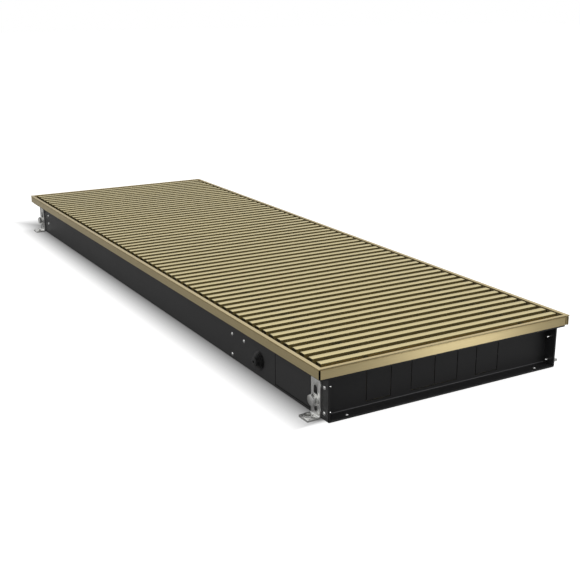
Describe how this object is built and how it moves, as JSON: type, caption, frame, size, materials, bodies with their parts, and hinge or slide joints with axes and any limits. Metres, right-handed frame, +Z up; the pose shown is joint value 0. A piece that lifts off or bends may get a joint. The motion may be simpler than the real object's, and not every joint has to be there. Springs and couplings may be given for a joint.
{
  "type": "trench convector heater",
  "caption": "Long low floor-trench convector: black steel trough, brass-coloured edge frame and roll-up bar grille over a finned exchanger and a crossflow fan.",
  "frame": {"origin": "middle of the footprint on the floor under the trough", "axes": "+Z up, +Y along the heater away from the connection end, +X to the right seen from that end"},
  "size_m": [0.4152, 1.2, 0.075],
  "materials": {
    "black_steel": "satin black powder coat",
    "black_panel": "satin black powder coat",
    "gold_frame": "satin brass-coloured anodising",
    "gold_bars": "satin brass-coloured anodising",
    "zinc_sheet": "galvanised sheet",
    "zinc_hardware": "bright zinc plate",
    "bright_rivet": "polished steel",
    "black_rubber": "matt",
    "red_rubber": "matt",
    "black_plastic": "fine grain",
    "grey_plastic": "fine grain",
    "cream_plastic": "smooth",
    "fins": "mill finish",
    "copper": "drawn copper tube",
    "brass": "turned",
    "sintered_bronze": "oiled, matt",
    "spring_steel": "drawn wire",
    "steel_shaft": "ground",
    "motor_can": "satin",
    "rotor": "dark anodised"
  },
  "bodies": {
    "casing": {"trough": "black_steel", "front_end_panel": "black_panel", "rear_end_panel": "black_panel", "front_partition": "zinc_sheet", "rear_partition": "zinc_sheet", "sheet_rivets": "bright_rivet", "floor_rivets": "bright_rivet", "cable_grommet": "black_rubber", "frame_left": "gold_frame", "frame_right": "gold_frame", "frame_front": "gold_frame", "frame_rear": "gold_frame", "frame_rivets": "gold_frame", "rest_strips": "black_rubber", "fin_pack": "fins", "exchanger_tubes": "copper", "return_bends": "copper", "tube_bushes": "red_rubber", "fin_saddles": "zinc_sheet", "pipe_sockets": "brass", "bleed_valve": "brass", "fan_bearings": "sintered_bronze", "bearing_rings": "black_rubber", "motor": "motor_can", "motor_bracket": "zinc_sheet", "motor_rings": "black_rubber", "scroll_front": "zinc_sheet", "scroll_rear": "zinc_sheet", "air_guide": "zinc_sheet", "terminal_box": "black_plastic", "terminal_block": "cream_plastic", "terminal_screws": "brass", "motor_cable": "black_rubber", "cable_clips": "zinc_hardware", "foot_bolts": "zinc_hardware", "foot_washers": "zinc_hardware", "foot_nuts": "zinc_hardware"},
    "grille": {"grille_bars": "gold_bars", "grille_bushes": "black_plastic", "grille_springs": "spring_steel"},
    "roll_section_5": {"roll_bar_5": "gold_bars", "roll_link_5": "black_plastic"},
    "roll_section_4": {"roll_bar_4": "gold_bars", "roll_link_4": "black_plastic"},
    "roll_section_3": {"roll_bar_3": "gold_bars", "roll_link_3": "black_plastic"},
    "roll_section_2": {"roll_bar_2": "gold_bars", "roll_link_2": "black_plastic"},
    "roll_section_1": {"roll_bar_1": "gold_bars", "roll_link_1": "black_plastic"},
    "fan": {"fan_rotor_front": "rotor", "fan_rotor_rear": "rotor", "motor_shaft": "steel_shaft"},
    "vent_screw": {"bleed_screw": "brass"},
    "box_lid": {"terminal_lid": "grey_plastic", "lid_screws": "zinc_hardware"},
    "left_front_foot": {"foot_front_left": "zinc_hardware"},
    "right_front_foot": {"foot_front_right": "zinc_hardware"},
    "left_rear_foot": {"foot_rear_left": "zinc_hardware"},
    "right_rear_foot": {"foot_rear_right": "zinc_hardware"}
  },
  "joints": [
    {"name": "grille_lift", "type": "slide", "parent": "casing", "child": "grille", "axis": [0, 0, 1], "range_m": [0, 0.12]},
    {"name": "roll_5", "type": "hinge", "parent": "grille", "child": "roll_section_5", "pos_m": [0, -0.4887, 0.0732], "axis": [-1, 0, 0], "range_deg": [0, 20]},
    {"name": "roll_4", "type": "hinge", "parent": "roll_section_5", "child": "roll_section_4", "pos_m": [0, -0.50805, 0.0732], "axis": [-1, 0, 0], "range_deg": [0, 20]},
    {"name": "roll_3", "type": "hinge", "parent": "roll_section_4", "child": "roll_section_3", "pos_m": [0, -0.5274, 0.0732], "axis": [-1, 0, 0], "range_deg": [0, 20]},
    {"name": "roll_2", "type": "hinge", "parent": "roll_section_3", "child": "roll_section_2", "pos_m": [0, -0.54675, 0.0732], "axis": [-1, 0, 0], "range_deg": [0, 20]},
    {"name": "roll_1", "type": "hinge", "parent": "roll_section_2", "child": "roll_section_1", "pos_m": [0, -0.5661, 0.0732], "axis": [-1, 0, 0], "range_deg": [0, 20]},
    {"name": "fan_spin", "type": "hinge", "parent": "casing", "child": "fan", "pos_m": [-0.048, 0.0968, 0.0254], "axis": [0, 1, 0], "continuous": true},
    {"name": "vent_turn", "type": "hinge", "parent": "casing", "child": "vent_screw", "pos_m": [0.0781, -0.481, 0.047], "axis": [0, 0, 1], "range_deg": [0, 360]},
    {"name": "lid_lift", "type": "slide", "parent": "casing", "child": "box_lid", "axis": [0, 0, 1], "range_m": [0, 0.012]},
    {"name": "left_front_foot_slide", "type": "slide", "parent": "casing", "child": "left_front_foot", "axis": [0, 0, 1], "range_m": [-0.014, 0.005]},
    {"name": "right_front_foot_slide", "type": "slide", "parent": "casing", "child": "right_front_foot", "axis": [0, 0, 1], "range_m": [-0.014, 0.005]},
    {"name": "left_rear_foot_slide", "type": "slide", "parent": "casing", "child": "left_rear_foot", "axis": [0, 0, 1], "range_m": [-0.014, 0.005]},
    {"name": "right_rear_foot_slide", "type": "slide", "parent": "casing", "child": "right_rear_foot", "axis": [0, 0, 1], "range_m": [-0.014, 0.005]}
  ],
  "couplings": [
    {"joint": "roll_4", "follows": "roll_5", "ratio": 1},
    {"joint": "roll_3", "follows": "roll_5", "ratio": 1},
    {"joint": "roll_2", "follows": "roll_5", "ratio": 1},
    {"joint": "roll_1", "follows": "roll_5", "ratio": 1}
  ]
}
